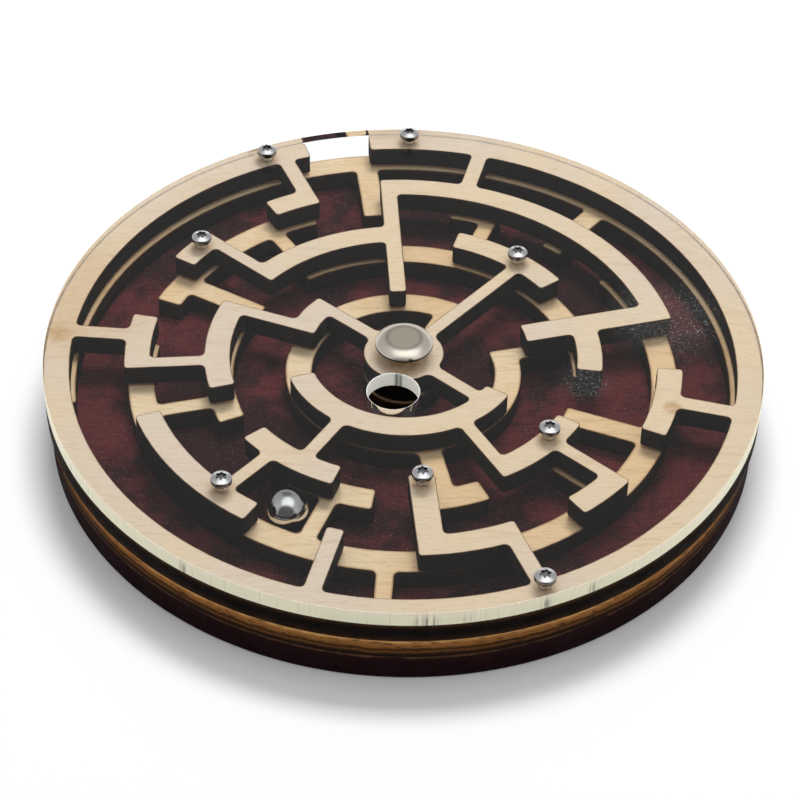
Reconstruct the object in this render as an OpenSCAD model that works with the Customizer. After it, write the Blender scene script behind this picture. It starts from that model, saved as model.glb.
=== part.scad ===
// Round ball labyrinth in two layers: a clear cover and an upper maze turn over a lower maze and its base.
// Origin at the centre of the base's underside, +Z up, millimetres.

/* [Ball and lanes] */
// Diameter of the steel ball
ball_d = 12; // [8:0.5:12.5]
// How much wider a lane of the upper plate is than the ball
lane_play = 3; // [2:0.5:6]
// How much wider the ball hole in the cover is than the ball
hole_play = 2.4; // [1:0.1:4]
// Gap between the resting ball and the walls beside it
ball_wall_gap = 0.4; // [0.3:0.05:1.5]
// Gap under the ball
ball_floor_gap = 0.05; // [0.02:0.01:0.2]
// Radius of the hub that both plates have round the pivot
hub_r = 11.2; // [10.5:0.1:16]
// Width of the gate in each rim, as an angle
gate_deg = 11.5; // [8:0.5:20]

/* [Wall widths] */
// Ring walls and broad spokes of the upper plate
upper_wall_w = 7.2; // [6:0.1:9]
// Spokes of the upper plate that meet its rim
upper_rim_spoke_w = 4.8; // [3:0.1:7]
// Inner spokes of the upper plate
upper_spoke_w = 4; // [3:0.1:7]
// Ring walls of the lower plate
lower_wall_w = 7.5; // [6:0.1:9]
// Broad spokes of the lower plate
lower_broad_w = 6.6; // [4:0.1:8]
// Narrow spokes of the lower plate
lower_spoke_w = 4.8; // [3:0.1:7]

/* [Stack] */
// Thickness of the base
base_t = 8; // [6:0.5:14]
// Thickness of each maze plate
plate_t = 6; // [5:0.5:10]
// Thickness of the clear cover
cover_t = 4.5; // [3:0.5:8]
// How far the cover stands out beyond the lower plate and the base
edge_step = 1; // [0:0.5:4]

/* [Pivot] */
// Outer diameter of the barrel
barrel_d = 8; // [6.5:0.5:10]
// How deep the barrel sits in the base
barrel_seat = 3; // [2:0.5:4]
// Running clearance round the barrel, on the radius
bore_play = 0.08; // [0.03:0.01:0.1]
// Free play of the turning top along the barrel
end_play = 0.1; // [0.05:0.05:0.3]
// Thickness of the washer between the plates
thrust_washer_t = 0.9; // [0.5:0.1:2]
// Outer diameter of the washer between the plates
thrust_washer_d = 18; // [14:0.5:20]
// Thickness of the washer under the cap
cap_washer_t = 0.8; // [0.5:0.1:2]
// Outer diameter of the washer under the cap
cap_washer_d = 12.5; // [11.5:0.5:14]
// Diameter of the cap
cap_d = 16.2; // [15:0.2:22]
// Diameter of the flat in the middle of the cap
cap_flat_d = 9.4; // [6:0.2:12]
// Height of the cap
cap_h = 2.4; // [1.5:0.1:4]
// Height of the cap's straight edge
cap_edge_h = 0.5; // [0.2:0.1:1]
// Thread diameter of the screw in the barrel
pivot_screw_d = 5; // [3:0.5:5]
// Head diameter of that screw
pivot_head_d = 9.2; // [7:0.2:10]
// How far that screw reaches into the barrel
pivot_grip = 11; // [6:1:14]
// Drilled depth in the barrel beyond the screw's tip
thread_runout = 1; // [0.5:0.5:2]

/* [Cover screws] */
// Thread diameter
screw_d = 3; // [2:0.5:4]
// How far a screw reaches into the upper plate
screw_grip = 3.5; // [2:0.5:4]
// Drilled depth beyond the tip
screw_runout = 0.4; // [0.2:0.1:0.8]
// Clearance round the thread in the cover, on the radius
screw_play = 0.1; // [0.05:0.05:0.3]
// Head diameter
head_d = 5.8; // [5:0.1:7]
// Head height
head_h = 2.4; // [1.8:0.1:3]
// Height of the head's straight side, below its crown
head_side_h = 1.2; // [0.4:0.1:1.4]
// Width of the six-lobe socket over its lobes
socket_d = 2.8; // [2:0.1:3.2]
// Depth of the socket
socket_depth = 1; // [0.5:0.1:1.1]

/* [Hidden] */
$fn = 128;
// Overlap that carries a cut past the face it opens
cut = 1;

// Radii: a hub, then a lane and a ring wall, four times over; the last wall is the rim
rings = 4;
lane_w = ball_d + lane_play;
ball_hole_d = ball_d + hole_play;
cover_r = hub_r + rings * (lane_w + upper_wall_w);
lower_r = cover_r - edge_step;
function upper_out(k) = hub_r + k * (cover_r - hub_r) / rings;
function upper_in(k) = upper_out(k) - upper_wall_w;
function upper_mid(k) = upper_out(k) - upper_wall_w / 2;
function lower_out(k) = hub_r + k * (lower_r - hub_r) / rings;
function lower_in(k) = lower_out(k) - lower_wall_w;
function lower_mid(k) = lower_out(k) - lower_wall_w / 2;
// A spoke runs through the whole width of its rings, so that corners are flush, and ends in the hub or rim
function upper_root(k) = k == 0 ? hub_r - cut : upper_in(k);
function lower_root(k) = k == 0 ? hub_r - cut : lower_in(k);
function lower_top(k) = k == rings ? lower_mid(k) : lower_out(k);
// Largest angle between neighbouring corners of the wedge that cuts an arc from its ring
wedge_step_a = 60;

// Heights
lower_z = base_t;
thrust_z = lower_z + plate_t;
upper_z = thrust_z + thrust_washer_t + end_play;
cover_z = upper_z + plate_t;
top_z = cover_z + cover_t;
cap_washer_z = top_z + end_play;
cap_z = cap_washer_z + cap_washer_t;
barrel_z = base_t - barrel_seat;

// Pivot and cover screws
barrel_r = barrel_d / 2;
bore_r = barrel_r + bore_play;
pivot_head_h = (pivot_head_d - pivot_screw_d) / 2;
pivot_screw_len = barrel_z + pivot_grip;
screw_len = cover_t + screw_grip;

// The lower spoke that the ball lies beside, and the upper walls round the ball, which are placed from it
ball_stop_a = 249.75;
ball_spoke_a = ball_stop_a - 19.75;
ball_inner_a = ball_spoke_a + 9;
front_post_a = ball_stop_a + 26.75;
front_stub_a = front_post_a + 16.5;
right_hub_a = front_post_a + 43.5;
right_inner_a = right_hub_a - 18.5;

// Upper plate: angles of its other spokes; those that belong to one branch are placed from one another
upper_gate_a = 103;
gate_stub_a = upper_gate_a + 10.5;
tee_a = 50;
right_post_a = 15.5;
right_post_gap = 1.6;
long_spoke_a = 94.5;
back_rim_a = long_spoke_a - 18;
back_step_a = long_spoke_a + 46;
left_hub_a = 141;
left_inner_a = left_hub_a + 19.5;
left_outer_a = left_inner_a + 25;
left_rim_a = left_outer_a - 9;
rim_post_a = 256.5;
right_stub_a = 347;

// Upper plate: arcs as [ring, first angle, last angle]
upper_arcs = [
    [1, left_hub_a, left_inner_a], [1, ball_inner_a - 39, right_hub_a + 11],
    [2, right_post_a - 21.5, right_post_a], [2, tee_a - 13.5, tee_a + 24], [2, long_spoke_a, back_step_a],
    [2, left_inner_a, left_inner_a + 37], [2, ball_spoke_a - 10, ball_spoke_a + 21],
    [2, right_inner_a, right_hub_a + 11],
    [3, right_post_a, long_spoke_a], [3, gate_stub_a, gate_stub_a + 9.5], [3, back_step_a, back_step_a + 9.5],
    [3, left_outer_a - 15.5, left_outer_a], [3, ball_spoke_a - 28.5, ball_spoke_a + 8.5],
    [3, front_post_a, front_stub_a], [3, right_hub_a - 11.5, right_hub_a],
    [3, right_stub_a - 10.5, right_stub_a + 10]
];
// Upper plate: spokes between neighbouring rings as [angle, inner ring], ring 0 being the hub
upper_spokes = [
    [left_hub_a, 0], [right_hub_a, 0], [left_inner_a, 1], [ball_inner_a, 1], [right_inner_a, 1],
    [back_step_a, 2], [left_outer_a, 2], [ball_spoke_a, 2], [right_hub_a, 2]
];
// Upper plate: angles of the spokes between ring 3 and the rim
upper_rim_spokes = [back_rim_a, gate_stub_a, left_rim_a, front_stub_a, right_stub_a];

// Lower plate: angles of its spokes and of the posts that end free
lower_gate_a = 196;
lower_hub_a = 65.5;
lower_right_a = 15;
lower_back_a = 70;
lower_step_a = 123.5;
lower_left_a = 151;
lower_rim_link_a = lower_left_a + 44.5;
lower_front_a = 283.5;
lower_short_post_a = 319.5;
lower_long_post_a = 340;
lower_rim_a = 267.5;
lower_rim_posts = [52, 98];

// Lower plate, in the same forms as the upper one
lower_arcs = [
    [1, lower_hub_a, lower_right_a + 360],
    [2, lower_right_a - 16, lower_step_a], [2, lower_left_a, lower_left_a + 53.5],
    [2, ball_stop_a - 19.75, ball_stop_a + 12.4], [2, lower_front_a, lower_front_a + 12.5],
    [3, lower_back_a, lower_back_a + 9.5], [3, lower_step_a - 11, lower_left_a + 7.5], [3, 173, 396]
];
lower_spokes = [
    [lower_hub_a, 0], [lower_right_a, 1], [lower_back_a, 2], [lower_step_a, 2], [lower_rim_link_a, 2],
    [ball_stop_a, 2], [lower_rim_a, 3]
];
lower_broad_spokes = [[lower_front_a, 1], [lower_left_a, 2]];

// Screws of the cover as [ring, angle, share of the wall's width that they sit inside its middle];
// those where a spoke joins the ring sit nearer the spoke
screw_places = [
    [4, upper_gate_a - 13, 0], [4, gate_stub_a + 3, 0], [4, front_stub_a + 0.2, 0.25],
    [3, back_step_a + 3, 0], [3, ball_spoke_a - 0.5, 0.25],
    [2, tee_a + 1.6, 0], [2, front_post_a, 0.1], [2, right_hub_a + 0.8, 0.1]
];
// Angle of the ball hole
ball_hole_a = 262;

// The ball lies in the lane inside ring 3, close to that ring and beside the spoke at ball_stop_a
ball_lane_r = min(upper_in(3), lower_in(3)) - ball_d / 2 - ball_wall_gap;
ball_a = ball_stop_a - asin((ball_d / 2 + lower_spoke_w / 2 + ball_wall_gap) / ball_lane_r);

// Plan of a ring between two radii
module band(r_in, r_out) {
    difference() {
        circle(r = r_out);
        circle(r = r_in);
    }
}

// Plan of a part of such a ring, between two angles: the ring within a wedge that reaches well past it
module arc(r_in, r_out, first_a, last_a) {
    reach = 2 * r_out;
    steps = ceil((last_a - first_a) / wedge_step_a);
    step_a = (last_a - first_a) / steps;
    intersection() {
        band(r_in, r_out);
        polygon([[0, 0], for (i = [0:steps]) reach * [cos(first_a + i * step_a), sin(first_a + i * step_a)]]);
    }
}

// Plan of a straight wall along a radius, with ends that follow the rings
module spoke(a, r_in, r_out, w) {
    intersection() {
        rotate(a) translate([0, -w / 2]) square([r_out + cut, w]);
        band(r_in, r_out);
    }
}

// Plan of a rim with a gap through it
module gated_rim(gate_a, r_in, r_out) {
    arc(r_in, r_out, gate_a + gate_deg / 2, gate_a - gate_deg / 2 + 360);
}

// Place of a cover screw in the plan
module at_screw(place) {
    rotate([0, 0, place[1]]) translate([upper_mid(place[0]) - place[2] * upper_wall_w, 0, 0]) children();
}

module base_disc() {
    color([0.27, 0.16, 0.16])
        difference() {
            cylinder(r = lower_r, h = base_t);
            translate([0, 0, barrel_z]) cylinder(r = barrel_r, h = barrel_seat + cut);
            translate([0, 0, -cut]) cylinder(d = pivot_screw_d, h = base_t);
            cylinder(d1 = pivot_head_d, d2 = pivot_screw_d, h = pivot_head_h);
        }
}

module lower_maze() {
    color([0.84, 0.70, 0.52])
        translate([0, 0, lower_z])
            linear_extrude(plate_t)
                difference() {
                    union() {
                        circle(r = hub_r);
                        gated_rim(lower_gate_a, lower_in(rings), lower_r);
                        for (p = lower_arcs) arc(lower_in(p[0]), lower_out(p[0]), p[1], p[2]);
                        for (p = lower_spokes)
                            spoke(p[0], lower_root(p[1]), lower_top(p[1] + 1), lower_spoke_w);
                        for (p = lower_broad_spokes)
                            spoke(p[0], lower_root(p[1]), lower_top(p[1] + 1), lower_broad_w);
                        for (a = lower_rim_posts) spoke(a, lower_in(3), lower_mid(rings), lower_broad_w);
                        spoke(lower_short_post_a, lower_out(2), lower_mid(3), lower_spoke_w);
                        spoke(lower_long_post_a, lower_in(2), lower_mid(3), lower_broad_w);
                    }
                    circle(r = barrel_r);
                }
}

module upper_maze() {
    color([0.87, 0.79, 0.68])
        translate([0, 0, upper_z])
            difference() {
                linear_extrude(plate_t)
                    difference() {
                        union() {
                            circle(r = hub_r);
                            gated_rim(upper_gate_a, upper_in(rings), cover_r);
                            for (p = upper_arcs) arc(upper_in(p[0]), upper_out(p[0]), p[1], p[2]);
                            for (p = upper_spokes)
                                spoke(p[0], upper_root(p[1]), upper_out(p[1] + 1), upper_spoke_w);
                            for (a = upper_rim_spokes)
                                spoke(a, upper_in(3), upper_mid(rings), upper_rim_spoke_w);
                            spoke(tee_a, upper_root(0), upper_mid(2), upper_spoke_w);
                            spoke(long_spoke_a, upper_in(1), upper_out(3), upper_rim_spoke_w);
                            spoke(right_post_a, upper_out(1) + right_post_gap, upper_out(3), upper_wall_w);
                            spoke(front_post_a, upper_in(2), upper_out(3), upper_wall_w);
                            spoke(rim_post_a, upper_in(3), upper_mid(rings), upper_rim_spoke_w);
                        }
                        circle(r = bore_r);
                    }
                for (p = screw_places)
                    at_screw(p)
                        translate([0, 0, plate_t - screw_grip - screw_runout])
                            cylinder(d = screw_d, h = screw_len);
            }
}

module cover_disc() {
    color([0.80, 0.88, 0.86, 0.35])
        translate([0, 0, cover_z])
            difference() {
                cylinder(r = cover_r, h = cover_t);
                translate([0, 0, -cut]) cylinder(r = bore_r, h = cover_t + 2 * cut);
                rotate([0, 0, ball_hole_a])
                    translate([hub_r + lane_w / 2, 0, -cut]) cylinder(d = ball_hole_d, h = cover_t + 2 * cut);
                for (p = screw_places)
                    at_screw(p)
                        translate([0, 0, -cut]) cylinder(r = screw_d / 2 + screw_play, h = cover_t + 2 * cut);
            }
}

// Pan head with a six-lobe socket, over a plain thread
module cover_screw(place) {
    crown_h = head_h - head_side_h;
    crown_r = (pow(head_d / 2, 2) + pow(crown_h, 2)) / (2 * crown_h);
    lobe_r = socket_d / 8;
    color([0.78, 0.78, 0.79])
        at_screw(place)
            translate([0, 0, top_z]) {
                difference() {
                    intersection() {
                        translate([0, 0, head_h - crown_r]) sphere(r = crown_r);
                        cylinder(d = head_d, h = head_h);
                    }
                    translate([0, 0, head_h - socket_depth]) {
                        cylinder(d = socket_d - 2 * lobe_r, h = head_h);
                        for (a = [0:60:300])
                            rotate([0, 0, a])
                                translate([socket_d / 2 - lobe_r, 0, 0])
                                    cylinder(r = lobe_r, h = head_h, $fn = 32);
                    }
                }
                translate([0, 0, -screw_len]) cylinder(d = screw_d, h = screw_len);
            }
}

// Domed cap with the barrel that the top turns on, drilled from below for the pivot screw
module pivot_sleeve() {
    color([0.72, 0.70, 0.67])
        difference() {
            union() {
                translate([0, 0, barrel_z]) cylinder(r = barrel_r, h = cap_z - barrel_z);
                translate([0, 0, cap_z])
                    rotate_extrude()
                        polygon([
                            [0, 0], [cap_d / 2, 0], [cap_d / 2, cap_edge_h],
                            [(cap_d + cap_flat_d) / 4, cap_h - (cap_h - cap_edge_h) / 4],
                            [cap_flat_d / 2, cap_h], [0, cap_h]
                        ]);
            }
            cylinder(d = pivot_screw_d, h = pivot_screw_len + thread_runout);
        }
}

module pivot_screw() {
    color([0.55, 0.55, 0.56])
        union() {
            cylinder(d1 = pivot_head_d, d2 = pivot_screw_d, h = pivot_head_h);
            cylinder(d = pivot_screw_d, h = pivot_screw_len);
        }
}

// Washer round the barrel
module washer(outer_d, t) {
    difference() {
        cylinder(d = outer_d, h = t);
        translate([0, 0, -cut]) cylinder(r = barrel_r, h = t + 2 * cut);
    }
}

module thrust_washer() {
    color([0.92, 0.92, 0.90]) translate([0, 0, thrust_z]) washer(thrust_washer_d, thrust_washer_t);
}

module cap_washer() {
    color([0.92, 0.92, 0.90]) translate([0, 0, cap_washer_z]) washer(cap_washer_d, cap_washer_t);
}

module ball() {
    color([0.75, 0.76, 0.78])
        rotate([0, 0, ball_a])
            translate([ball_lane_r, 0, base_t + ball_floor_gap + ball_d / 2]) sphere(d = ball_d);
}

base_disc();
lower_maze();
pivot_sleeve();
pivot_screw();
thrust_washer();
cap_washer();
upper_maze();
cover_disc();
for (i = [1:len(screw_places)])
    cover_screw(screw_places[i - 1]);
ball();
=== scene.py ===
import math

import bmesh
import bpy
from mathutils import Matrix, Vector


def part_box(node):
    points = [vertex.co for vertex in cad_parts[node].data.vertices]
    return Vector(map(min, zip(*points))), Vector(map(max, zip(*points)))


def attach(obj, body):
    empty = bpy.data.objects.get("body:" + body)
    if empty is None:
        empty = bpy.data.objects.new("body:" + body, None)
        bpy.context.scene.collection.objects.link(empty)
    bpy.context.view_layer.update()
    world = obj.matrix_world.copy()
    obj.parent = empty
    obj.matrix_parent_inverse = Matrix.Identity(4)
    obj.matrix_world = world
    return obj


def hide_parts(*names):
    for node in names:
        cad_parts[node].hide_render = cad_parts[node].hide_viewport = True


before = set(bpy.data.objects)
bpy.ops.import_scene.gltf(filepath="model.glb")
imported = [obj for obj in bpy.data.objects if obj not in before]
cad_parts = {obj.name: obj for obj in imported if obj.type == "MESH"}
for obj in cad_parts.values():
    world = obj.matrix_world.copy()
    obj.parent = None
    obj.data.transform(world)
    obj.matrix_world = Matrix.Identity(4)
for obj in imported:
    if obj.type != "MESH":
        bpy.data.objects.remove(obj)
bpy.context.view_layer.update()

mm = 0.001
scene = bpy.context.scene
scene.view_settings.view_transform = "Standard"
print("frame loaded,", len(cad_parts), "nodes")


# selection and edit mode

def clearSelection():
    if bpy.context.object and bpy.context.object.mode != "OBJECT":
        bpy.ops.object.mode_set(mode="OBJECT")
    bpy.ops.object.select_all(action="DESELECT")


def pick(piece):
    clearSelection()
    piece.select_set(True)
    bpy.context.view_layer.objects.active = piece


def openMesh(piece):
    pick(piece)
    bpy.ops.object.mode_set(mode="EDIT")
    bpy.ops.mesh.select_mode(type="VERT")
    bpy.ops.mesh.select_all(action="SELECT")


def closeMesh():
    bpy.ops.object.mode_set(mode="OBJECT")


def choose(piece, kind, test):
    bpy.ops.mesh.select_mode(type=kind)
    bpy.ops.mesh.select_all(action="DESELECT")
    shape = bmesh.from_edit_mesh(piece.data)
    shape.normal_update()
    parts = {"VERT": shape.verts, "EDGE": shape.edges, "FACE": shape.faces}[kind]
    chosen = [part for part in parts if test(part)]
    for part in chosen:
        part.select_set(True)
    bmesh.update_edit_mesh(piece.data)
    return len(chosen)


def mergeAndFaceOut():
    bpy.ops.mesh.select_mode(type="VERT")
    bpy.ops.mesh.select_all(action="SELECT")
    bpy.ops.mesh.remove_doubles(threshold=0.001 * mm)
    bpy.ops.mesh.normals_make_consistent(inside=False)


# leaves the piece in edit mode
def cutAway(piece, tools):
    for tool in tools:
        cut = piece.modifiers.new("cutAway", "BOOLEAN")
        cut.operation = "DIFFERENCE"
        cut.solver = "EXACT"
        cut.object = tool
    pick(piece)
    for modifier in list(piece.modifiers):
        bpy.ops.object.modifier_apply(modifier=modifier.name)
    for tool in tools:
        bpy.data.objects.remove(tool)
    openMesh(piece)
    mergeAndFaceOut()


def isFlat(face):
    return abs(face.normal.z) > 0.95


def smooth(piece, degrees):
    pick(piece)
    bpy.ops.object.shade_smooth_by_angle(angle=math.radians(degrees))
    for face in piece.data.polygons:
        if abs(face.normal.z) > 0.999:
            face.use_smooth = False


def paint(piece, materials, test):
    piece.data.materials.clear()
    for material in materials:
        piece.data.materials.append(material)
    for face in piece.data.polygons:
        face.material_index = test(face)


def fit(piece, node, body):
    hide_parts(node)
    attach(piece, body)


def centreOf(node):
    low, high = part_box(node)
    return (low + high) / 2


def heightsOf(node):
    low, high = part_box(node)
    return low.z, high.z


# shader nodes: a value that is a socket is linked, any other is set

def newMaterial(name):
    material = bpy.data.materials.new(name)
    material.use_nodes = True
    material.node_tree.nodes.clear()
    return material, material.node_tree


def put(tree, kind, sockets=None, **settings):
    made = tree.nodes.new("ShaderNode" + kind)
    for key, value in settings.items():
        setattr(made, key, value)
    for key, value in (sockets or {}).items():
        if isinstance(value, bpy.types.NodeSocket):
            tree.links.new(value, made.inputs[key])
        else:
            made.inputs[key].default_value = value
    return made


def objectSpot(tree):
    return put(tree, "TexCoord").outputs["Object"]


def stretched(tree, spot, scale, turn=0.0):
    turned = (0, 0, math.radians(turn))
    made = put(tree, "Mapping", {"Vector": spot, "Scale": scale, "Rotation": turned})
    return made.outputs["Vector"]


def noise(tree, spot, scale, detail=4.0, rough=0.5, bend=0.0):
    sockets = {"Vector": spot, "Scale": scale, "Detail": detail, "Roughness": rough, "Distortion": bend}
    return put(tree, "TexNoise", sockets).outputs[0]


def calc(tree, how, first, second=0.0):
    return put(tree, "Math", {0: first, 1: second}, operation=how).outputs[0]


def spread(tree, value, low, high, outLow=0.0, outHigh=1.0):
    sockets = {"Value": value, 1: low, 2: high, 3: outLow, 4: outHigh}
    return put(tree, "MapRange", sockets, interpolation_type="SMOOTHSTEP").outputs[0]


def blend(tree, share, first, second):
    colours = [c if isinstance(c, bpy.types.NodeSocket) else tuple(c) + (1.0,) for c in (first, second)]
    return put(tree, "Mix", {0: share, 6: colours[0], 7: colours[1]}, data_type="RGBA").outputs[2]


def ramp(tree, value, stops):
    made = put(tree, "ValToRGB", {"Fac": value})
    marks = made.color_ramp.elements
    while len(marks) < len(stops):
        marks.new(1.0)
    for mark, (place, colour) in zip(marks, stops):
        mark.position = place
        mark.color = tuple(colour) + (1.0,)
    return made.outputs["Color"]


def bump(tree, height, strength, depth):
    sockets = {"Height": height, "Strength": strength, "Distance": depth}
    return put(tree, "Bump", sockets).outputs["Normal"]


def gloss(tree, sockets):
    return put(tree, "BsdfPrincipled", sockets).outputs[0]


def mixShaders(tree, share, first, second):
    return put(tree, "MixShader", {0: share, 1: first, 2: second}).outputs[0]


def show(tree, shader):
    put(tree, "OutputMaterial", {"Surface": shader})


def heightShare(tree, spot, low, high):
    height = put(tree, "SeparateXYZ", {"Vector": spot}).outputs["Z"]
    return put(tree, "MapRange", {"Value": height, 1: low, 2: high}).outputs[0]


# full in about the inner third, and gone at its reach
def spotMask(tree, spot, place, reach):
    away = put(tree, "VectorMath", {0: spot, 1: place}, operation="DISTANCE").outputs["Value"]
    return spread(tree, away, 0.35 * reach, reach, 1.0, 0.0)


# camera and stage

viewSettings = {
    "distance": 0.699974,       # from the middle of the cover's top
    "elevation": 41.8455,
    "aimHeight": 25.5 * mm,
    "pan": -0.0792,
    "tilt": 43.0737,
    "roll": 1.3987,
    "lens": 113.093,
    "sensor": 36,
}


def makeCamera(settings):
    pan, tilt, roll, rise = (math.radians(settings[key]) for key in ("pan", "tilt", "roll", "elevation"))
    ahead = Vector((math.sin(pan) * math.cos(tilt), math.cos(pan) * math.cos(tilt), -math.sin(tilt)))
    right = Vector((math.cos(pan), -math.sin(pan), 0))
    up = right.cross(ahead)
    imageRight = math.cos(roll) * right + math.sin(roll) * up
    imageUp = math.cos(roll) * up - math.sin(roll) * right
    stand = Vector((0, -settings["distance"] * math.cos(rise), settings["distance"] * math.sin(rise)))
    stand.z += settings["aimHeight"]
    bpy.ops.object.camera_add(location=stand)
    camera = bpy.context.object
    camera.name = "photoCamera"
    turn = Matrix((imageRight, imageUp, -ahead)).transposed()
    camera.rotation_euler = turn.to_euler()
    camera.data.lens = settings["lens"]
    camera.data.sensor_width = settings["sensor"]
    camera.data.clip_start = 0.01
    scene.camera = camera


stageSettings = {
    "size": 12.0,
    "drop": 0.2 * mm,
    "tone": (0.90, 0.90, 0.92),
    "fibreShade": 0.985,
    "glow": (0.985, 0.985, 1.0),
    "nearGlow": 0.06,
    "nearEdge": 0.22,           # from here the paper fades
    "farEdge": 0.75,            # and here it is white
}


def makeFloor(settings):
    clearSelection()
    bpy.ops.mesh.primitive_plane_add(size=settings["size"], location=(0, 0, -settings["drop"]))
    floor = bpy.context.object
    floor.name = "paleFloor"
    material, tree = newMaterial("palePaper")
    spot = objectSpot(tree)
    away = put(tree, "VectorMath", {0: spot}, operation="LENGTH").outputs["Value"]
    far = spread(tree, away, settings["nearEdge"], settings["farEdge"])
    fibre = noise(tree, spot, 600, 3)
    tone = blend(tree, fibre, [settings["fibreShade"] * c for c in settings["tone"]], settings["tone"])
    lit = put(tree, "BsdfDiffuse", {"Color": tone}).outputs[0]
    light = put(tree, "LightPath")
    seen = calc(tree, "MAXIMUM", light.outputs["Is Camera Ray"], light.outputs["Is Glossy Ray"])
    seen = calc(tree, "MAXIMUM", seen, light.outputs["Is Transmission Ray"])
    glow = put(tree, "Emission", {"Color": settings["glow"] + (1.0,), "Strength": settings["nearGlow"]})
    white = put(tree, "Emission", {"Color": (1, 1, 1, 1), "Strength": 1.0})
    paper = put(tree, "AddShader", {0: lit, 1: glow.outputs[0]}).outputs[0]
    faded = mixShaders(tree, far, paper, white.outputs[0])
    show(tree, mixShaders(tree, seen, lit, faded))
    floor.data.materials.append(material)


airSettings = {
    "horizon": 1.0,
    "bandLow": 0.10,
    "bandHigh": 0.30,
    "frontSky": 0.60,
    "backSky": 0.42,
    "skyTurn": 0.7,             # half the span in which front sky turns to back sky
    "patches": [                # direction, cosines of its edge and middle, and level
        ((0.12, -0.10, 1.0), (0.78, 0.97), 1.40),
        ((0.0, -0.85, 0.40), (0.62, 0.84), 0.09),
        ((0.0, 0.73, 0.68), (0.925, 0.978), 0.19),      # the one that the cover mirrors
    ],
}


def makeAir(settings):
    world = bpy.data.worlds.new("studioAir")
    world.use_nodes = True
    tree = world.node_tree
    tree.nodes.clear()
    way = put(tree, "TexCoord").outputs["Generated"]
    parts = put(tree, "SeparateXYZ", {"Vector": way}).outputs
    skyTurn = settings["skyTurn"]
    sky = spread(tree, parts["Y"], -skyTurn, skyTurn, settings["frontSky"], settings["backSky"])
    band = spread(tree, parts["Z"], settings["bandLow"], settings["bandHigh"])
    level = put(tree, "Mix", {0: band, 2: settings["horizon"], 3: sky}, data_type="FLOAT").outputs[0]
    for middle, edges, patchLevel in settings["patches"]:
        aim = Vector(middle).normalized()
        facing = put(tree, "VectorMath", {0: way, 1: aim}, operation="DOT_PRODUCT").outputs["Value"]
        level = spread(tree, facing, *edges, level, patchLevel)
    air = put(tree, "Background", {"Color": (1, 1, 1, 1), "Strength": level})
    put(tree, "OutputWorld", {"Surface": air.outputs[0]})
    scene.world = world


lampSettings = {"place": (0.05, 0.46, 0.99), "width": 0.50, "depth": 0.30, "watts": 8.0}


def makeLamp(settings):
    bpy.ops.object.light_add(type="AREA", location=settings["place"])
    lamp = bpy.context.object
    lamp.name = "backBox"
    lamp.data.shape = "RECTANGLE"
    lamp.data.size = settings["width"]
    lamp.data.size_y = settings["depth"]
    lamp.data.energy = settings["watts"]
    lamp.rotation_euler = (-Vector(settings["place"])).to_track_quat("-Z", "Y").to_euler()
    lamp.visible_glossy = False     # metal mirrors the air alone
    lamp.visible_transmission = False


makeCamera(viewSettings)
makeFloor(stageSettings)
makeAir(airSettings)
makeLamp(lampSettings)
print("camera, floor and lamp made")


# plywood: bare faces, scorched cuts

screwNodes = ["cover_screw_%d" % number for number in range(1, 9)]
screwPlaces = [centreOf(name) for name in screwNodes]
upperTop = heightsOf("upper_maze")[1]


def onUpper(radius, degrees):
    angle = math.radians(degrees)
    return (radius * mm * math.cos(angle), radius * mm * math.sin(angle), upperTop)


# each entry is its place, reach and strength; some are stains and some are painted shade
upperBirch = {
    "pale": (0.725, 0.595, 0.485),
    "warm": (0.770, 0.600, 0.420),
    "line": (0.600, 0.420, 0.260),
    "scorch": (0.230, 0.105, 0.040),
    # colour of the stains and of the painted shade
    "stain": (0.480, 0.250, 0.090),
    "grainTurn": 12,
    # round each screw head: painted shade under the head
    "stainsAndShade": [((place.x, place.y, upperTop), 4.6 * mm, 0.65) for place in screwPlaces] + [
        (onUpper(97.0, 177.5), 5.0 * mm, 0.60),
        (onUpper(96.0, 168.0), 34.0 * mm, 0.30),
        (onUpper(76.5, 345.0), 3.4 * mm, 0.75),
        # painted shade under the cap's front edge
        (onUpper(4.6, 268.0), 7.6 * mm, 0.90),
    ],
}
lowerBirch = {
    "pale": (0.830, 0.640, 0.425),
    "warm": (0.800, 0.560, 0.325),
    "line": (0.580, 0.370, 0.185),
    "scorch": (0.260, 0.105, 0.030),
    "grainTurn": -24,
    "stainsAndShade": [],
}


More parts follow.
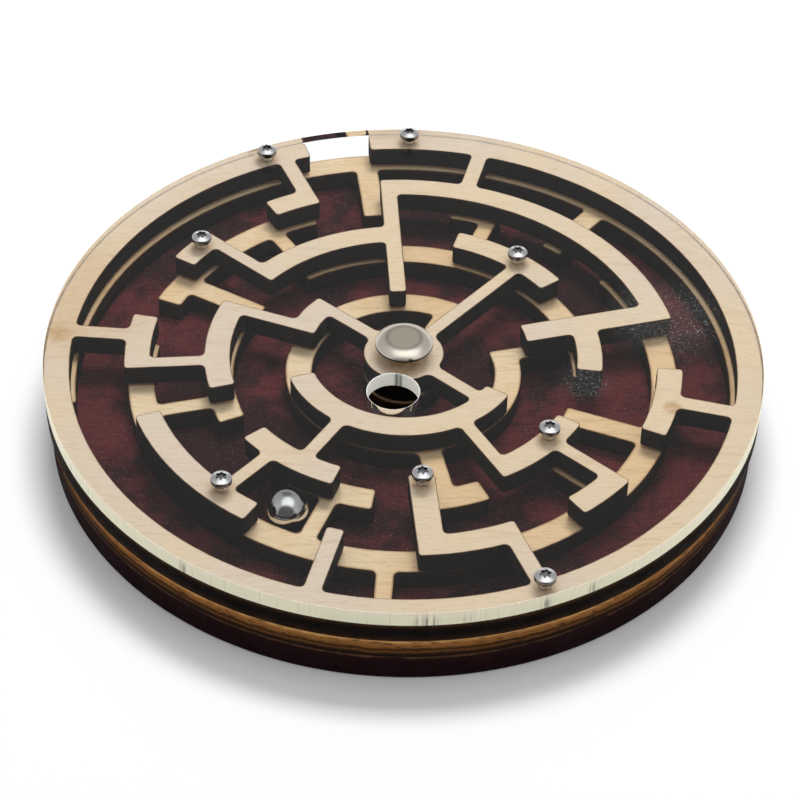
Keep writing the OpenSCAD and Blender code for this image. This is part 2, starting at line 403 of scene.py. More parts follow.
def birchFace(name, look):
    material, tree = newMaterial(name)
    spot = objectSpot(tree)
    turn = look["grainTurn"]
    figure = noise(tree, stretched(tree, spot, (16, 150, 60), turn), 3.0, 5, 0.6, 0.4)
    fine = noise(tree, stretched(tree, spot, (70, 900, 300), turn), 3.0, 4, 0.6)
    dash = noise(tree, stretched(tree, spot, (260, 1900, 900), turn), 1.0, 2, 0.5)
    cloud = noise(tree, spot, 20, 3, 0.5)
    colour = blend(tree, spread(tree, cloud, 0.35, 0.65), look["pale"], look["warm"])
    colour = blend(tree, spread(tree, figure, 0.50, 0.78, 0.0, 0.62), colour, look["line"])
    colour = blend(tree, spread(tree, fine, 0.52, 0.72, 0.0, 0.62), colour, look["line"])
    colour = blend(tree, spread(tree, dash, 0.57, 0.68, 0.0, 0.45), colour, look["line"])
    # stains and patches of painted shade darken the face
    for place, reach, strength in look["stainsAndShade"]:
        ragged = spread(tree, noise(tree, spot, 520, 5, 0.65), 0.25, 0.65, 0.25 * strength, strength)
        share = calc(tree, "MULTIPLY", spotMask(tree, spot, place, reach), ragged)
        colour = blend(tree, share, colour, look["stain"])
    edge = put(tree, "Attribute", attribute_name="scorch").outputs["Fac"]
    uneven = spread(tree, noise(tree, spot, 260, 3), 0.30, 0.70, 0.60, 1.0)
    fringe = calc(tree, "MULTIPLY", calc(tree, "POWER", edge, 1.25), uneven)
    colour = blend(tree, fringe, colour, look["scorch"])
    rough = spread(tree, fine, 0.3, 0.7, 0.52, 0.68)
    normal = bump(tree, calc(tree, "ADD", fine, figure), 0.25, 0.03 * mm)
    show(tree, gloss(tree, {"Base Color": colour, "Roughness": rough, "Normal": normal}))
    return material


# a cut's stops are colours from its foot to its top
streaksUpright = (1, 1, 0.06)
streaksAlong = (0.20, 0.20, 1.0)
lowerCut = {
    "stops": [
        (0.0, (0.012, 0.006, 0.004)),
        (0.55, (0.020, 0.010, 0.006)),
        (0.90, (0.034, 0.016, 0.008)),
        (1.0, (0.120, 0.055, 0.020)),
    ],
    "streak": (0.008, 0.005, 0.004),
    "streakShare": 0.6,
    "streakRun": streaksUpright,
}
lowerRim = {
    "stops": [
        (0.0, (0.010, 0.005, 0.003)),
        (0.18, (0.030, 0.013, 0.006)),
        (0.32, (0.150, 0.062, 0.018)),
        (0.45, (0.034, 0.014, 0.005)),
        (0.57, (0.260, 0.108, 0.030)),
        (0.80, (0.360, 0.155, 0.044)),
        (0.93, (0.640, 0.340, 0.115)),
        (1.0, (0.720, 0.430, 0.170)),
    ],
    "streak": (0.010, 0.006, 0.004),
    "streakShare": 0.85,
    "streakRun": streaksAlong,
}
upperCut = {
    "stops": [
        (0.0, (0.014, 0.009, 0.007)),
        (0.20, (0.008, 0.006, 0.005)),
        (0.85, (0.009, 0.007, 0.006)),
        (1.0, (0.060, 0.028, 0.012)),
    ],
    "streak": (0.020, 0.013, 0.010),
    "streakShare": 0.5,
    "streakRun": streaksUpright,
}
upperRim = {
    "stops": [
        (0.0, (0.050, 0.023, 0.009)),
        (0.18, (0.016, 0.008, 0.004)),
        (0.50, (0.004, 0.003, 0.002)),
        (0.80, (0.010, 0.005, 0.003)),
        (0.92, (0.060, 0.027, 0.009)),
        (1.0, (0.030, 0.014, 0.005)),
    ],
    "streak": (0.003, 0.002, 0.002),
    "streakShare": 0.7,
    "streakRun": streaksAlong,
}


# charred and stained wood hardly shines
def showMatt(tree, colour, rough, normal):
    sockets = {"Base Color": colour, "Roughness": rough, "Normal": normal, "Specular IOR Level": 0.04}
    show(tree, gloss(tree, sockets))


def cutWall(name, node, look):
    material, tree = newMaterial(name)
    spot = objectSpot(tree)
    kerf = noise(tree, stretched(tree, spot, look["streakRun"]), 1500, 3, 0.6)
    burn = noise(tree, spot, 190, 4, 0.6)
    wave = calc(tree, "MULTIPLY", calc(tree, "SUBTRACT", burn, 0.5), 0.30)
    level = calc(tree, "ADD", heightShare(tree, spot, *heightsOf(node)), wave)
    streaks = spread(tree, kerf, 0.50, 0.72, 0.0, look["streakShare"])
    colour = blend(tree, streaks, ramp(tree, level, look["stops"]), look["streak"])
    rough = spread(tree, burn, 0.3, 0.7, 0.62, 0.82)
    showMatt(tree, colour, rough, bump(tree, kerf, 0.45, 0.06 * mm))
    return material


# plates and cover are modelled in millimetres, and scaled to metres when they are done
near = 0.02
squareEdge = math.radians(60)
plateSettings = {
    "mergeNear": 0.002,
    "straight": 0.4,            # degrees under which a wall counts as straight
    "sharp": 25,                # degrees over which a corner is rounded
    "outsideCorner": 1.0,
    "insideCorner": 1.5,
    "cornerSteps": 5,
    "clearNear": 2.4,           # short wall facets this near a corner go before it is rounded
    # the lower plate's wider fringe is laser scorch that also stands in as painted shade on the strips
    # under the upper plate
    "fringe": {"lower_maze": 0.75, "upper_maze": 0.45},
    "topEdge": 0.10,
    "rimBand": 0.6,
    "smooth": 20,
}


def capFace(face, height):
    return abs(face.normal.z) > 0.9 and abs(face.calc_center_median().z - height) < near


def levelEdge(edge, height):
    return all(abs(vert.co.z - height) < near for vert in edge.verts)


def dropCaps(piece, low, high):
    choose(piece, "FACE", lambda face: capFace(face, low) or capFace(face, high))
    bpy.ops.mesh.delete(type="FACE")


# a narrow strip of cap along every wall, so that the edge bevel keeps its width
def addFringe(piece, height, width):
    shape = bmesh.from_edit_mesh(piece.data)
    shape.normal_update()
    rim = [edge for edge in shape.edges if edge.is_boundary and levelEdge(edge, height)]
    walls = {}
    for edge in rim:
        outward = edge.link_faces[0].normal.to_2d().normalized()
        for vert in edge.verts:
            walls.setdefault(vert, []).append(outward)
    inner = {}
    for vert, (first, second) in walls.items():
        step = (first + second) * width / (1 + first.dot(second))
        inner[vert] = shape.verts.new(vert.co - step.to_3d())
    for edge in rim:
        start, end = edge.verts
        shape.faces.new((start, end, inner[end], inner[start]))
    bmesh.update_edit_mesh(piece.data)


# keptSharp holds places and reaches in which no edge is eased
def capAndEase(piece, heights, easedHeights, fringe, edgeWidth, keptSharp=()):
    for height in heights:
        addFringe(piece, height, fringe)
        choose(piece, "EDGE", lambda edge: edge.is_boundary and levelEdge(edge, height))
        bpy.ops.mesh.fill(use_beauty=True)
    mergeAndFaceOut()

    def eased(edge):
        if not any(levelEdge(edge, height) for height in easedHeights):
            return False
        spot = edge.verts[0].co.to_2d()
        kept = any((spot - place).length < reach for place, reach in keptSharp)
        return not kept and edge.calc_face_angle(0.0) > squareEdge

    choose(piece, "EDGE", eased)
    bpy.ops.mesh.bevel(offset=edgeWidth, segments=2, affect="EDGES", clamp_overlap=False)
    mergeAndFaceOut()
    shape = bmesh.from_edit_mesh(piece.data)
    unclosed = sum(1 for edge in shape.edges if not edge.is_manifold)
    print(piece.name, "capped,", unclosed, "edges not closed")


def shapePlate(node, name, settings):
    piece = bpy.data.objects.new(name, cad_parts[node].data.copy())
    scene.collection.objects.link(piece)
    piece.data.transform(Matrix.Scale(1 / mm, 4))
    low, high = (height / mm for height in heightsOf(node))
    openMesh(piece)
    bpy.ops.mesh.remove_doubles(threshold=settings["mergeNear"])

    # the caps come off, so that only upright walls are rounded
    dropCaps(piece, low, high)
    bpy.ops.mesh.select_all(action="SELECT")
    bpy.ops.mesh.dissolve_limited(angle_limit=math.radians(settings["straight"]))

    def upright(edge):
        first, second = edge.verts
        flat = (first.co - second.co).to_2d().length
        tall = abs(first.co.z - second.co.z) > 0.9 * (high - low)      # leaves the screw holes alone
        return flat < near and tall and len(edge.link_faces) == 2

    def sharp(edge):
        return upright(edge) and edge.calc_face_angle() > math.radians(settings["sharp"])

    shape = bmesh.from_edit_mesh(piece.data)
    corners = [edge.verts[0].co.to_2d() for edge in shape.edges if sharp(edge)]

    def crowded(edge):
        if not upright(edge) or sharp(edge):
            return False
        spot = edge.verts[0].co.to_2d()
        return any((spot - corner).length < settings["clearNear"] for corner in corners)

    choose(piece, "EDGE", crowded)
    bpy.ops.mesh.dissolve_edges(use_verts=True)
    rounding = {"segments": settings["cornerSteps"], "affect": "EDGES", "clamp_overlap": False}
    outside = choose(piece, "EDGE", lambda edge: sharp(edge) and edge.is_convex)
    bpy.ops.mesh.bevel(offset=settings["outsideCorner"], **rounding)
    inside = choose(piece, "EDGE", lambda edge: sharp(edge) and not edge.is_convex)
    bpy.ops.mesh.bevel(offset=settings["insideCorner"], **rounding)
    capAndEase(piece, (low, high), (low, high), settings["fringe"][node], settings["topEdge"])
    closeMesh()
    piece.data.transform(Matrix.Scale(mm, 4))
    print(name, "rounded:", outside, "outside and", inside, "inside corners")
    return piece


def markScorch(piece):
    cut = set()
    for face in piece.data.polygons:
        if not isFlat(face):
            cut.update(face.vertices)
    mark = piece.data.attributes.new("scorch", "FLOAT", "POINT")
    for vert in piece.data.vertices:
        mark.data[vert.index].value = 1.0 if vert.index in cut else 0.0


def makePlate(node, name, body, materials, settings):
    piece = shapePlate(node, name, settings)
    markScorch(piece)
    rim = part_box(node)[1].x - settings["rimBand"] * mm

    def zone(face):
        if isFlat(face):
            return 0
        return 2 if face.center.to_2d().length > rim else 1

    paint(piece, materials, zone)
    smooth(piece, settings["smooth"])
    fit(piece, node, body)


makePlate("lower_maze", "lowerPlate", "base", [
    birchFace("lowerBirchFace", lowerBirch),
    cutWall("lowerScorchedCut", "lower_maze", lowerCut),
    cutWall("lowerGoldenEdge", "lower_maze", lowerRim),
], plateSettings)
makePlate("upper_maze", "upperPlate", "top", [
    birchFace("upperBirchFace", upperBirch),
    cutWall("upperScorchedCut", "upper_maze", upperCut),
    cutWall("upperScorchedEdge", "upper_maze", upperRim),
], plateSettings)


# turned pieces: an outline in millimetres, radius and height, spun round the axis

def turnOutline(name, outline, steps, ring):
    clearSelection()
    bpy.ops.mesh.primitive_plane_add(size=1 * mm, location=(0, 0, 0))
    piece = bpy.context.object
    piece.name = name
    piece.data.name = name
    bpy.ops.object.mode_set(mode="EDIT")
    bpy.ops.mesh.select_mode(type="VERT")
    bpy.ops.mesh.select_all(action="SELECT")
    bpy.ops.mesh.merge(type="CENTER")
    spots = [Vector((radius * mm, 0, height * mm)) for radius, height in outline]
    bpy.ops.transform.translate(value=spots[0])
    for before, after in zip(spots, spots[1:]):
        bpy.ops.mesh.extrude_region_move(TRANSFORM_OT_translate={"value": after - before})
    if ring:
        ends, samePlace = (spots[0], spots[-1]), 0.0001 * mm
        choose(piece, "VERT", lambda vert: any((vert.co - end).length < samePlace for end in ends))
        bpy.ops.mesh.edge_face_add()
    bpy.ops.mesh.select_all(action="SELECT")
    bpy.ops.mesh.spin(steps=steps, angle=math.tau, center=(0, 0, 0), axis=(0, 0, 1))
    mergeAndFaceOut()
    closeMesh()
    return piece


# outline of a disc's side, with both edges eased
def easedSide(radius, foot, top, edge):
    soft = 0.3 * edge
    return [
        (radius - edge, foot), (radius - soft, foot + soft), (radius, foot + edge),
        (radius, top - edge), (radius - soft, top - soft), (radius - edge, top),
    ]


# shared by base, cap, pivot screw and washers: radii, and heights from the floor
pivotSizes = {"barrel": 4.0, "barrelFoot": 5.0, "screw": 2.5, "sinkMouth": 4.6, "sinkTop": 2.1}


# dark stained base

baseSettings = {"edge": 0.35, "steps": 240, "smooth": 50}
baseStain = {
    "deep": (0.028, 0.0085, 0.0100),
    "red": (0.112, 0.0200, 0.0225),
    "grain": (0.014, 0.0050, 0.0050),
    "grainTurn": 35,
    "dust": (0.210, 0.150, 0.150),
}
baseRim = {
    "stops": [
        (0.0, (0.011, 0.0034, 0.0042)),
        (0.70, (0.015, 0.0046, 0.0054)),
        (0.90, (0.019, 0.0065, 0.006)),
        (1.0, (0.120, 0.060, 0.034)),
    ],
    "streak": (0.028, 0.0095, 0.0095),
    "streakShare": 0.55,
    "streakRun": streaksUpright,
}


def stainedWood(name, look):
    material, tree = newMaterial(name)
    spot = objectSpot(tree)
    cloud = noise(tree, spot, 28, 4, 0.55, 0.6)
    mottle = noise(tree, spot, 140, 5, 0.65)
    fibre = noise(tree, stretched(tree, spot, (40, 700, 200), look["grainTurn"]), 3.0, 5, 0.65)
    patch = calc(tree, "ADD", calc(tree, "MULTIPLY", cloud, 0.65), calc(tree, "MULTIPLY", mottle, 0.35))
    colour = blend(tree, spread(tree, patch, 0.43, 0.58), look["deep"], look["red"])
    colour = blend(tree, spread(tree, fibre, 0.45, 0.70, 0.0, 0.65), colour, look["grain"])
    speck = spread(tree, noise(tree, spot, 1500, 2), 0.60, 0.72, 0.0, 0.50)
    colour = blend(tree, speck, colour, look["dust"])
    rough = spread(tree, mottle, 0.3, 0.7, 0.70, 0.86)
    showMatt(tree, colour, rough, bump(tree, fibre, 0.30, 0.05 * mm))
    return material


def makeBase(settings, pivot):
    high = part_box("base_disc")[1] / mm
    edge = settings["edge"]
    outline = [(pivot["sinkMouth"], 0)] + easedSide(high.x, 0, high.z, edge) + [
        (pivot["barrel"], high.z), (pivot["barrel"], pivot["barrelFoot"]),
        (pivot["screw"], pivot["barrelFoot"]), (pivot["screw"], pivot["sinkTop"]),
    ]
    piece = turnOutline("stainedBase", outline, settings["steps"], True)
    stain = stainedWood("mahoganyStain", baseStain)
    edgeCut = cutWall("baseDarkEdge", "base_disc", baseRim)
    rim = (high.x - 1.1 * edge) * mm
    paint(piece, [stain, edgeCut], lambda face: 1 if face.center.to_2d().length > rim else 0)
    smooth(piece, settings["smooth"])
    fit(piece, "base_disc", "base")


makeBase(baseSettings, pivotSizes)
print("base turned")


# clear cover

coverSettings = {
    "steps": 288,
    "lift": 0.02,               # keeps the clear face off the wood under it
    "edge": 0.16,
    "fringe": 0.4,
    "ballHole": (18.7, 262.0, 7.2),     # distance and degrees from the pivot, and radius
    "ballHoleSteps": 96,
    "bore": 4.08,
    "boreSteps": 64,
    "screwHole": 1.6,
    "screwHoleSteps": 40,
    "wallNear": 0.5,
    "smooth": 12,
    "dust": [((74, 16), 21), ((50, -12), 10)],      # place and reach
    "dustTone": (0.62, 0.61, 0.60, 1),
    "dustElsewhere": 0.08,
}
clearAcrylic = {"Base Color": (0.985, 0.995, 0.988, 1), "Transmission Weight": 1.0, "IOR": 1.49}
# a streak is its middle and half width in degrees, and its strength
sawnEdge = {
    "pale": (0.90, 0.85, 0.61),
    "green": (0.84, 0.83, 0.59),
    "rib": (0.72, 0.72, 0.52),
    "dark": (0.26, 0.26, 0.19),
    "solid": 0.0,
    "rim": (0.95, 0.86, 0.66),
    "rimFrom": 0.30,
    "rimShare": 0.80,
    "glow": 0.10,               # painted glow, standing in for light led through the sheet
    "streaks": [
        (236.5, 1.2, 0.9),
        (274.2, 2.6, 1.0),
        (281.0, 3.0, 0.4),
        (292.0, 1.3, 1.0),
        (300.0, 1.4, 0.9),
    ],
}
holeWall = {
    "pale": (0.93, 0.92, 0.84),
    "green": (0.86, 0.87, 0.78),
    "rib": (0.60, 0.62, 0.54),
    "dark": (0.10, 0.11, 0.09),
    "solid": 0.55,
    # its pale top band is a painted highlight along the hole's edge
    "rim": (0.97, 0.97, 0.95),
    "rimFrom": 0.80,
    "rimShare": 0.35,
    # painted glow on the hole's wall
    "glow": 0.36,
    "streaks": [(80.0, 13.0, 1.0)],
}


# light for other pieces passes straight through
def clearShader(tree, solid):
    light = put(tree, "LightPath")
    passing = calc(tree, "MAXIMUM", light.outputs["Is Shadow Ray"], light.outputs["Is Diffuse Ray"])
    through = put(tree, "BsdfTransparent", {"Color": (0.97, 0.98, 0.975, 1)}).outputs[0]
    return mixShaders(tree, passing, solid, through)


def acrylicFace(name, settings):
    material, tree = newMaterial(name)
    spot = objectSpot(tree)
    haze = noise(tree, spot, 70, 4, 0.6)
    scratch = noise(tree, stretched(tree, spot, (40, 2600, 40), 28), 1.0, 2)
    rough = spread(tree, haze, 0.45, 0.75, 0.0, 0.02)
    normal = bump(tree, scratch, 0.02, 0.002 * mm)
    glass = gloss(tree, {**clearAcrylic, "Roughness": rough, "Normal": normal})
    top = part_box("cover_disc")[1].z
    dusted = settings["dustElsewhere"]
    for (x, y), reach in settings["dust"]:
        mask = spotMask(tree, spot, (x * mm, y * mm, top), reach * mm)
        dusted = calc(tree, "MAXIMUM", dusted, mask)
    speck = spread(tree, noise(tree, spot, 1500, 3, 0.7), 0.58, 0.74, 0.0, 0.45)
    share = calc(tree, "MULTIPLY", calc(tree, "ADD", speck, 0.012), dusted)
    powder = put(tree, "BsdfDiffuse", {"Color": settings["dustTone"]}).outputs[0]
    show(tree, clearShader(tree, mixShaders(tree, share, glass, powder)))
    return material


# matt from outside, and clear from inside the sheet
def acrylicCut(name, look, low, high, centre=(0, 0, 0)):
    material, tree = newMaterial(name)
    spot = objectSpot(tree)
    around = put(tree, "VectorMath", {0: spot, 1: centre}, operation="SUBTRACT").outputs["Vector"]
    parts = put(tree, "SeparateXYZ", {"Vector": around}).outputs
    angle = calc(tree, "ARCTAN2", parts["Y"], parts["X"])
    ribs = noise(tree, stretched(tree, spot, (1, 1, 0.03)), 700, 3, 0.7)
    broad = noise(tree, stretched(tree, spot, (1, 1, 0.05)), 60, 2)
    hairline = noise(tree, stretched(tree, spot, (1, 1, 0.02)), 1700, 2, 0.6)
    colour = blend(tree, spread(tree, broad, 0.35, 0.65), look["pale"], look["green"])
    colour = blend(tree, spread(tree, ribs, 0.58, 0.78, 0.0, 0.05), colour, look["rib"])
    streaked = 0.0
    for degrees, width, strength in look["streaks"]:
        turned = math.radians(degrees - 360 if degrees > 180 else degrees)
        off = calc(tree, "ABSOLUTE", calc(tree, "SUBTRACT", angle, turned))
        mask = spread(tree, off, 0.3 * math.radians(width), math.radians(width), strength, 0.0)
        streaked = calc(tree, "MAXIMUM", streaked, mask)
    dark = calc(tree, "MULTIPLY", streaked, spread(tree, hairline, 0.44, 0.64, look["solid"], 1.0))
    colour = blend(tree, dark, colour, look["dark"])
    level = heightShare(tree, spot, low, high)
    rimShare = spread(tree, level, look["rimFrom"], 1.0, 0.0, look["rimShare"])
    colour = blend(tree, rimShare, colour, look["rim"])
    # the matt face glows in its own colour: painted glow
    matt = gloss(tree, {
        "Base Color": colour, "Transmission Weight": 0.10, "IOR": clearAcrylic["IOR"],
        "Roughness": spread(tree, ribs, 0.3, 0.7, 0.26, 0.40), "Normal": bump(tree, ribs, 0.06, 0.02 * mm),
        "Emission Color": colour, "Emission Strength": look["glow"],
    })
    clear = gloss(tree, {**clearAcrylic, "Roughness": 0.02})
    inside = put(tree, "NewGeometry").outputs["Backfacing"]
    show(tree, clearShader(tree, mixShaders(tree, inside, matt, clear)))
    return material


def makeCover(settings):
    low, high = (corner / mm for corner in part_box("cover_disc"))
    bottom, top = low.z + settings["lift"], high.z
    depth, middle = top - bottom, (top + bottom) / 2
    clearSelection()
    bpy.ops.mesh.primitive_cylinder_add(
        vertices=settings["steps"], radius=high.x, depth=depth, location=(0, 0, middle))
    piece = bpy.context.object
    piece.name = "clearCover"
    bpy.ops.object.transform_apply(location=True, rotation=True, scale=True)
    away, degrees, holeRadius = settings["ballHole"]
    angle = math.radians(degrees)
    hole = Vector((away * math.cos(angle), away * math.sin(angle), 0))
    screws = [place / mm for place in screwPlaces]
    drills = [(hole, holeRadius, settings["ballHoleSteps"])]
    drills += [(Vector((0, 0, 0)), settings["bore"], settings["boreSteps"])]
    drills += [(screw, settings["screwHole"], settings["screwHoleSteps"]) for screw in screws]
    tools = []
    for spot, radius, steps in drills:
        bpy.ops.mesh.primitive_cylinder_add(
            vertices=steps, radius=radius, depth=3 * depth, location=(spot.x, spot.y, middle))
        tools.append(bpy.context.object)
    cutAway(piece, tools)
    dropCaps(piece, bottom, top)
    keptSharp = [(screw.to_2d(), 1.2 * settings["screwHole"]) for screw in screws]
    capAndEase(piece, (bottom, top), (top,), settings["fringe"], settings["edge"], keptSharp)
    closeMesh()
    piece.data.transform(Matrix.Scale(mm, 4))
    face = acrylicFace("clearAcrylic", settings)
    rim = acrylicCut("acrylicSawnEdge", sawnEdge, bottom * mm, top * mm)
    wall = acrylicCut("acrylicHoleWall", holeWall, bottom * mm, top * mm, hole * mm)
    outside = (high.x - 2 * settings["edge"]) * mm
    holeReach = (holeRadius + settings["wallNear"]) * mm

    def zone(part):
        spot = part.center.to_2d()
        if isFlat(part):
            return 0
        if spot.length > outside:
            return 1
        return 2 if (spot - hole.to_2d() * mm).length < holeReach else 0

    paint(piece, [face, rim, wall], zone)
    smooth(piece, settings["smooth"])
    fit(piece, "cover_disc", "top")


makeCover(coverSettings)
print("cover drilled")


# metal: a colour and its worn tone, roughness from and to, and the scale of its brush lines

def metal(name, colour, worn, rough, brush, marks=()):
    material, tree = newMaterial(name)
    spot = objectSpot(tree)
    film = noise(tree, spot, 420, 4, 0.6)
    hair = noise(tree, stretched(tree, spot, brush, 20), 1.0, 3, 0.6)
    tone = blend(tree, spread(tree, film, 0.40, 0.70, 0.0, 0.6), colour, worn)
    for place, reach, shade in marks:
        ragged = spread(tree, noise(tree, spot, 900, 4, 0.7), 0.38, 0.52)
        share = calc(tree, "MULTIPLY", spotMask(tree, spot, place, reach), ragged)
        tone = blend(tree, share, tone, shade)
    sockets = {
        "Base Color": tone, "Metallic": 1.0, "Roughness": spread(tree, hair, 0.3, 0.7, *rough),
        "Normal": bump(tree, hair, 0.01, 0.01 * mm),
    }
    show(tree, gloss(tree, sockets))
    return material


screwBrush = (900, 900, 200)
screwSteel = metal("polishedStainless", (0.74, 0.73, 0.74), (0.64, 0.63, 0.64), (0.18, 0.25), screwBrush)
# painted shade: the sockets' walls and the threads under the cover
paintedShadeSteel = metal("socketShade", (0.040, 0.040, 0.042), (0.020, 0.020, 0.020), (0.35, 0.55), screwBrush)
socketFloor = metal("socketFloor", (0.60, 0.60, 0.61), (0.46, 0.46, 0.47), (0.30, 0.45), screwBrush)
# the heads' sides are darkened with painted shade
paintedShadeSideSteel = metal("headSidePaintedShade", (0.24, 0.23, 0.22), (0.16, 0.155, 0.15), (0.18, 0.30), (300, 300, 2500))
ballSteel = metal("bearingSteel", (0.73, 0.74, 0.76), (0.66, 0.67, 0.69), (0.09, 0.13), (500, 500, 500))


# six-lobe sockets, in millimetres

lobeSteps = 72


def sixLobeTool(lobe, waist, foot, top):
    clearSelection()
    bpy.ops.mesh.primitive_circle_add(
        vertices=lobeSteps, radius=lobe * mm, fill_type="NGON", location=(0, 0, 0))
    piece = bpy.context.object
    middle, swing = (lobe + waist) / 2, (lobe - waist) / 2
    for vert in piece.data.vertices:
        angle = math.atan2(vert.co.y, vert.co.x)
        radius = (middle + swing * math.cos(6 * angle)) * mm
        vert.co = Vector((radius * math.cos(angle), radius * math.sin(angle), foot * mm))
    openMesh(piece)
    bpy.ops.mesh.extrude_region_move(TRANSFORM_OT_translate={"value": (0, 0, (top - foot) * mm)})
    mergeAndFaceOut()
    closeMesh()
    return piece


# cover screws, from the head's middle down

screwSettings = {
    "steps": 48,
    "lift": 0.02,               # head over the cover
    "crown": (0.14, 0.28, 0.42, 0.56, 0.70, 0.82, 1.0),         # shares of the way out
    "side": 1.2,
    "ease": 0.5,                # from the crown into the side
    "sideFoot": 0.22,
    "footEase": (0.06, 0.08),
    "footInset": 0.20,
    "thread": 1.5,
    "threadDepth": 0.24,
    "threadStart": 0.3,
    "pitch": 0.5,
    "plainEnd": 0.8,
    "point": (0.7, 0.3),
    "socketDepth": 0.85,
    "socketLobe": 1.60,
    "socketWaist": 1.05,
    "turns": [8, 41, 17, 52, 29, 3, 36, 22],
    "smooth": 35,
}


def screwOutline(settings, headRadius, headHeight, length):
    crown = headHeight - settings["side"]
    crownRadius = (headRadius ** 2 + crown ** 2) / (2 * crown)
    ease = settings["ease"]
    outline = [(0, headHeight)]
    for share in settings["crown"]:
        radius = share * (headRadius - ease)
        outline.append((radius, headHeight - crownRadius + math.sqrt(crownRadius ** 2 - radius ** 2)))
    last = outline[-1][1]
    side = settings["side"] - 0.5 * ease
    for share in (0.25, 0.5, 0.75):
        turn = share * math.pi / 2
        outline.append((headRadius - ease * (1 - math.sin(turn)), side + (last - side) * math.cos(turn)))
    easeIn, easeUp = settings["footEase"]
    outline += [(headRadius, side), (headRadius, settings["sideFoot"]), (headRadius - easeIn, easeUp)]
    thread, depth, pitch = settings["thread"], settings["threadDepth"], settings["pitch"]
    outline += [(headRadius - settings["footInset"], settings["lift"]), (thread, settings["lift"])]
    for ridge in range(int((length - settings["plainEnd"]) / pitch)):
        top = -settings["threadStart"] - ridge * pitch
        outline += [(thread - depth, top), (thread, top - 0.5 * pitch)]
    pointIn, pointUp = settings["point"]
    outline += [(thread - depth, -length + pointUp), (thread - pointIn, -length), (0, -length)]
    return outline


def makeScrews(settings):
    low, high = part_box("cover_screw_1")
    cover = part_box("cover_disc")[1].z
    headRadius = (high.x - low.x) / 2 / mm
    headHeight = (high.z - cover) / mm
    length = (cover - low.z) / mm
    outline = screwOutline(settings, headRadius, headHeight, length)
    model = turnOutline("screwModel", outline, settings["steps"], False)
    lobe, depth = settings["socketLobe"], settings["socketDepth"]
    tool = sixLobeTool(lobe, settings["socketWaist"], headHeight - depth, headHeight + 2 * depth)
    cutAway(model, [tool])
    closeMesh()
    floor = (headHeight - depth) * mm
    floorPlay = 0.02 * mm

    # 0 crown, 1 socket walls and thread, dark with painted shade, 2 socket floor, 3 side of the head, dark
    # with painted shade
    def zone(face):
        spot = face.center
        steep = abs(face.normal.z) < 0.5
        if spot.to_2d().length < lobe * mm and spot.z > floor - floorPlay:
            if abs(spot.z - floor) < floorPlay:
                return 2
            return 1 if steep else 0
        return 1 if spot.z < 0 else 3 if steep else 0

    paint(model, [screwSteel, paintedShadeSteel, socketFloor, paintedShadeSideSteel], zone)
    smooth(model, settings["smooth"])
    for number, (node, place) in enumerate(zip(screwNodes, screwPlaces)):
        copy = bpy.data.objects.new("coverScrew%d" % (number + 1), model.data.copy())
        scene.collection.objects.link(copy)
        turn = Matrix.Rotation(math.radians(settings["turns"][number]), 4, "Z")
        copy.data.transform(Matrix.Translation((place.x, place.y, cover)) @ turn)
        fit(copy, node, "top")
    bpy.data.objects.remove(model)


makeScrews(screwSettings)
print("cover screws placed")


# pivot: cap with its barrel, screw from below, two washers

capSettings = {
    "steps": 128,
    "flat": 4.3,
    "flatDrop": 0.03,
    "crown": (0.20, 0.36, 0.50, 0.63, 0.75, 0.85, 0.93, 0.98),          # shares of the way out
    "crownPower": 2.1,
    "edgeHeight": 0.62,
    "edgeFoot": 0.15,           # below it the cap is undercut to its washer
    "edgeEase": 0.06,
    "footEase": 0.05,
    "undercut": 0.6,
    "barrelEase": 0.2,
    "drillTop": 17.0,
    "drillPoint": 0.8,
    "chip": (2.0, -7.75, 0.45),         # its height is from the washer
    "chipReach": 1.1,
    "chipTone": (0.02, 0.018, 0.015),
    "edgeBand": 0.1,            # painted shade darkens the edge in this band
    "satinShare": 1.05,         # satin reaches a little over the flat
    "smooth": 40,
}


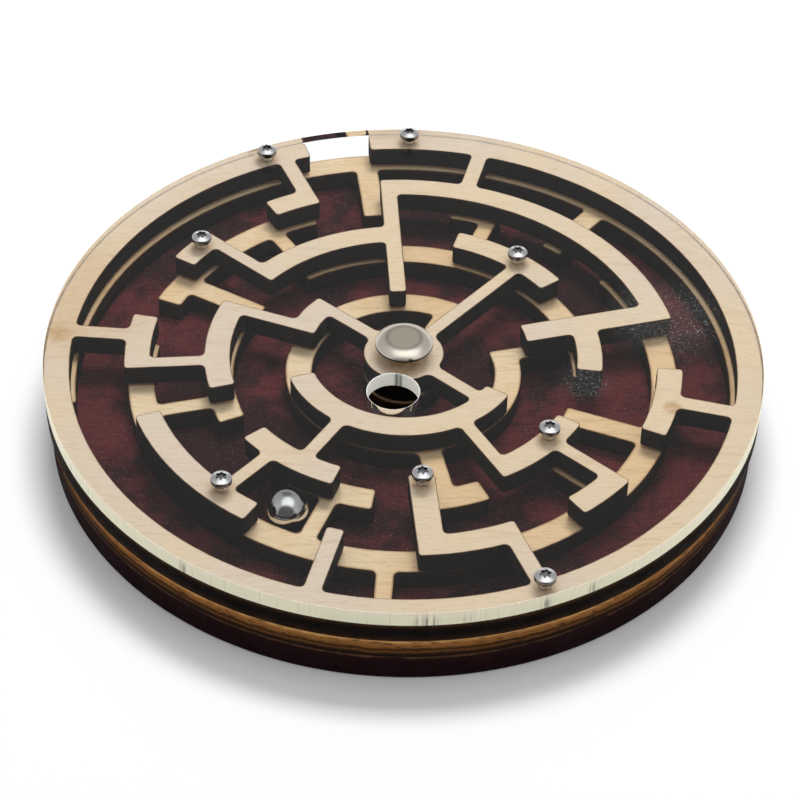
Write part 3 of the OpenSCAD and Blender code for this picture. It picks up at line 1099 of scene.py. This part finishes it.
def makeCap(settings, pivot):
    low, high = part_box("pivot_sleeve")
    rim, foot, top = high.x / mm, low.z / mm, high.z / mm
    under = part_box("cap_washer")[1].z / mm
    flat, drop = settings["flat"], settings["flatDrop"]
    edgeTop, edgeFoot = under + settings["edgeHeight"], under + settings["edgeFoot"]
    edgeEase, footEase = settings["edgeEase"], settings["footEase"]
    outline = [(0, top), (0.6 * flat, top), (flat, top - drop)]
    span, fall = rim - flat, top - drop - edgeTop
    for share in settings["crown"]:
        outline.append((flat + span * share, top - drop - fall * share ** settings["crownPower"]))
    outline += [(rim, edgeTop - edgeEase), (rim, edgeFoot + footEase), (rim - edgeEase, edgeFoot)]
    outline += [(rim - settings["undercut"], under)]
    barrel, drill, ease = pivot["barrel"], pivot["screw"], settings["barrelEase"]
    drillTop = settings["drillTop"]
    outline += [(barrel, under), (barrel, foot + ease), (barrel - ease, foot), (drill + ease, foot)]
    outline += [(drill, foot + ease), (drill, drillTop - settings["drillPoint"]), (0, drillTop)]
    piece = turnOutline("pivotCap", outline, settings["steps"], False)
    x, y, rise = settings["chip"]
    chip = ((x * mm, y * mm, (under + rise) * mm), settings["chipReach"] * mm, settings["chipTone"])
    satin = metal(
        "satinNickel", (0.82, 0.735, 0.61), (0.78, 0.695, 0.575), (0.44, 0.47), (700, 700, 700), [chip])
    bright = metal(
        "polishedNickel", (0.86, 0.78, 0.68), (0.82, 0.74, 0.64), (0.27, 0.31), (600, 600, 600), [chip])
    # painted shade: the dark line along the cap's lower edge
    paintedShadeEdge = metal(
        "capEdgePaintedShade", (0.085, 0.070, 0.055), (0.050, 0.042, 0.034), (0.35, 0.50), (600, 600, 600))
    edgeFrom = (rim - settings["edgeBand"]) * mm
    satinTo = settings["satinShare"] * flat * mm

    def zone(face):
        away = face.center.to_2d().length
        if away > edgeFrom and abs(face.normal.z) < 0.7:
            return 2
        return 0 if away < satinTo else 1

    paint(piece, [satin, bright, paintedShadeEdge], zone)
    smooth(piece, settings["smooth"])
    fit(piece, "pivot_sleeve", "base")


pivotScrewSettings = {
    "steps": 64,
    "lift": 0.02,
    "headInset": 0.25,
    "headEase": (0.05, 0.12),
    "threadDepth": 0.35,
    "threadFoot": 0.2,          # from the foot of the barrel
    "crestPlay": 0.02,
    "pitch": 0.8,
    "plainEnd": 1.0,
    "point": (0.9, 0.5),
    "socketDepth": 1.6,
    "socketLobe": 2.5,
    "socketWaist": 1.9,
    "smooth": 35,
}


def makePivotScrew(settings, pivot):
    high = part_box("pivot_screw")[1] / mm
    head, tip = high.x, high.z
    shank, lift, pitch = pivot["screw"], settings["lift"], settings["pitch"]
    root = shank - settings["threadDepth"]
    easeIn, easeUp = settings["headEase"]
    outline = [(0, lift), (head - settings["headInset"], lift), (head - easeIn, easeUp)]
    outline += [(shank, pivot["sinkTop"]), (shank, pivot["barrelFoot"])]
    threadFoot = pivot["barrelFoot"] + settings["threadFoot"]
    for ridge in range(int((tip - threadFoot - settings["plainEnd"]) / pitch)):
        foot = threadFoot + ridge * pitch
        outline += [(root, foot), (shank - settings["crestPlay"], foot + 0.5 * pitch)]
    pointIn, pointUp = settings["point"]
    outline += [(root, tip - pointUp), (shank - pointIn, tip), (0, tip)]
    piece = turnOutline("pivotScrew", outline, settings["steps"], False)
    lobe, depth = settings["socketLobe"], settings["socketDepth"]
    cutAway(piece, [sixLobeTool(lobe, settings["socketWaist"], -depth, depth)])
    closeMesh()
    socketPlay = 0.1

    def zone(face):
        spot = face.center
        inside = spot.to_2d().length < lobe * mm
        return 1 if inside and socketPlay * mm < spot.z < (depth + socketPlay) * mm else 0

    # the socket's walls carry painted shade
    paint(piece, [screwSteel, paintedShadeSteel], zone)
    smooth(piece, settings["smooth"])
    fit(piece, "pivot_screw", "base")


washerSettings = {"steps": 96, "edge": 0.15, "smooth": 50}


def nylon(name):
    material, tree = newMaterial(name)
    spot = objectSpot(tree)
    cloud = noise(tree, spot, 260, 4, 0.6)
    turned = noise(tree, stretched(tree, spot, (1, 1, 6)), 1800, 3)
    colour = blend(tree, cloud, (0.74, 0.73, 0.68), (0.84, 0.83, 0.80))
    rough = spread(tree, cloud, 0.3, 0.7, 0.38, 0.52)
    normal = bump(tree, turned, 0.15, 0.02 * mm)
    show(tree, gloss(tree, {"Base Color": colour, "Roughness": rough, "Normal": normal}))
    return material


def makeWasher(name, node, settings, pivot, material):
    low, high = (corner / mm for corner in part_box(node))
    bore = pivot["barrel"]
    side = easedSide(high.x, low.z, high.z, settings["edge"])
    outline = [(bore, low.z)] + side + [(bore, high.z)]
    piece = turnOutline(name, outline, settings["steps"], True)
    paint(piece, [material], lambda face: 0)
    smooth(piece, settings["smooth"])
    fit(piece, node, "base")


makeCap(capSettings, pivotSizes)
makePivotScrew(pivotScrewSettings, pivotSizes)
washerNylon = nylon("naturalNylon")
makeWasher("thrustWasher", "thrust_washer", washerSettings, pivotSizes, washerNylon)
makeWasher("capWasher", "cap_washer", washerSettings, pivotSizes, washerNylon)
print("pivot made")


# ball

ballSettings = {"rounds": 5, "smooth": 60}


def makeBall(settings):
    low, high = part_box("ball")
    radius = (high.z - low.z) / 2
    clearSelection()
    bpy.ops.mesh.primitive_cube_add(size=2 * radius, location=(0, 0, 0))
    piece = bpy.context.object
    piece.name = "steelBall"
    bpy.ops.object.mode_set(mode="EDIT")
    bpy.ops.mesh.select_all(action="SELECT")
    for count in range(settings["rounds"]):
        bpy.ops.mesh.subdivide(number_cuts=1)
    bpy.ops.transform.tosphere(value=1.0)
    closeMesh()
    for vert in piece.data.vertices:
        vert.co = vert.co.normalized() * radius
    piece.data.transform(Matrix.Translation((low + high) / 2))
    paint(piece, [ballSteel], lambda face: 0)
    smooth(piece, settings["smooth"])
    fit(piece, "ball", "ball")


makeBall(ballSettings)
print("ball made")
